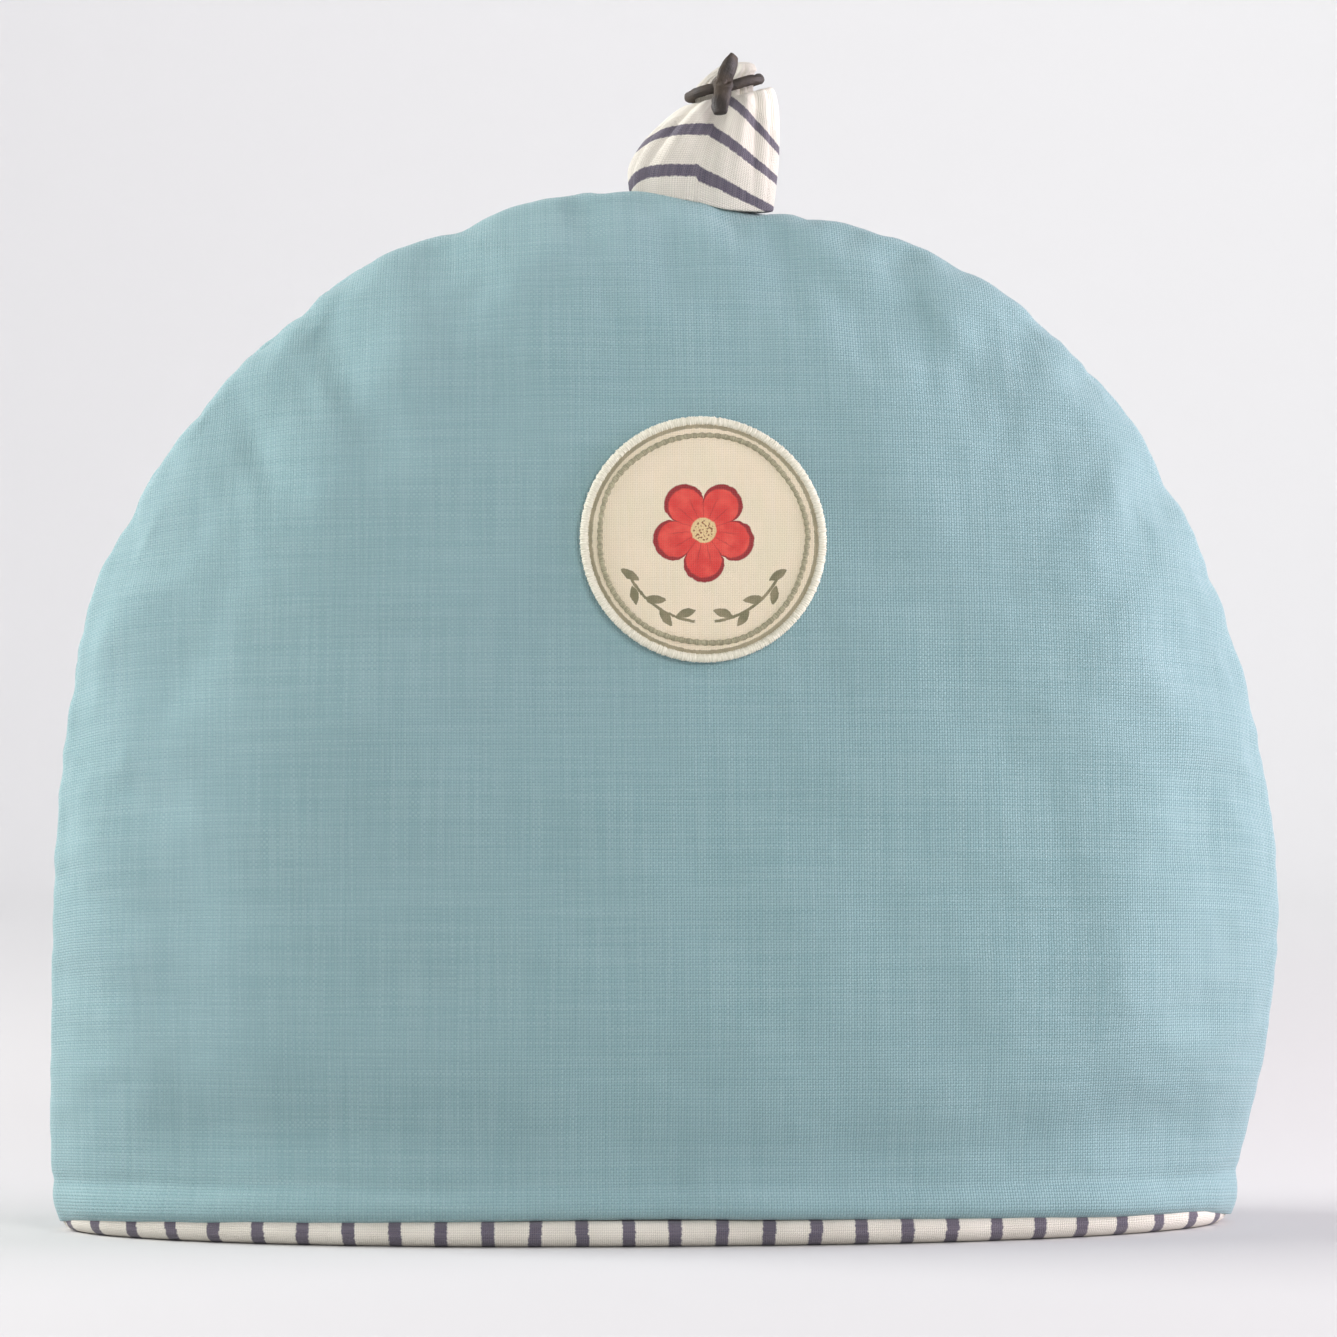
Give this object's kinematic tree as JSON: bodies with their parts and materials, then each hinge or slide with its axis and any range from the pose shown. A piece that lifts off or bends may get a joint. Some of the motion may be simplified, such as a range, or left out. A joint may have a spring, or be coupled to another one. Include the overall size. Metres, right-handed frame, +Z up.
{
  "type": "tea cosy",
  "caption": "Padded cloth teapot cover: two domed walls sewn along a curved seam, hollow and open at its striped hem, with a gathered topknot, its tie and a round patch.",
  "frame": {"origin": "on the table under the middle of the cosy, at the level of the hem's underside", "axes": "+Z up; the front, with the patch, faces -Y; the seam between the walls lies in the plane y = 0"},
  "size_m": [0.301, 0.0951, 0.2856],
  "materials": {
    "outer_cloth": "duck-egg blue plain weave, matt",
    "striped_cloth": "cream cotton with narrow dark blue stripes, matt",
    "thong": "dark brown, waxed",
    "patch_cloth": "cream cotton with a stitched rim"
  },
  "bodies": {
    "root": {"front_panel": "outer_cloth", "back_panel": "outer_cloth", "hem_edge": "striped_cloth", "topknot": "striped_cloth", "topknot_tie": "thong", "patch": "patch_cloth"}
  },
  "joints": []
}
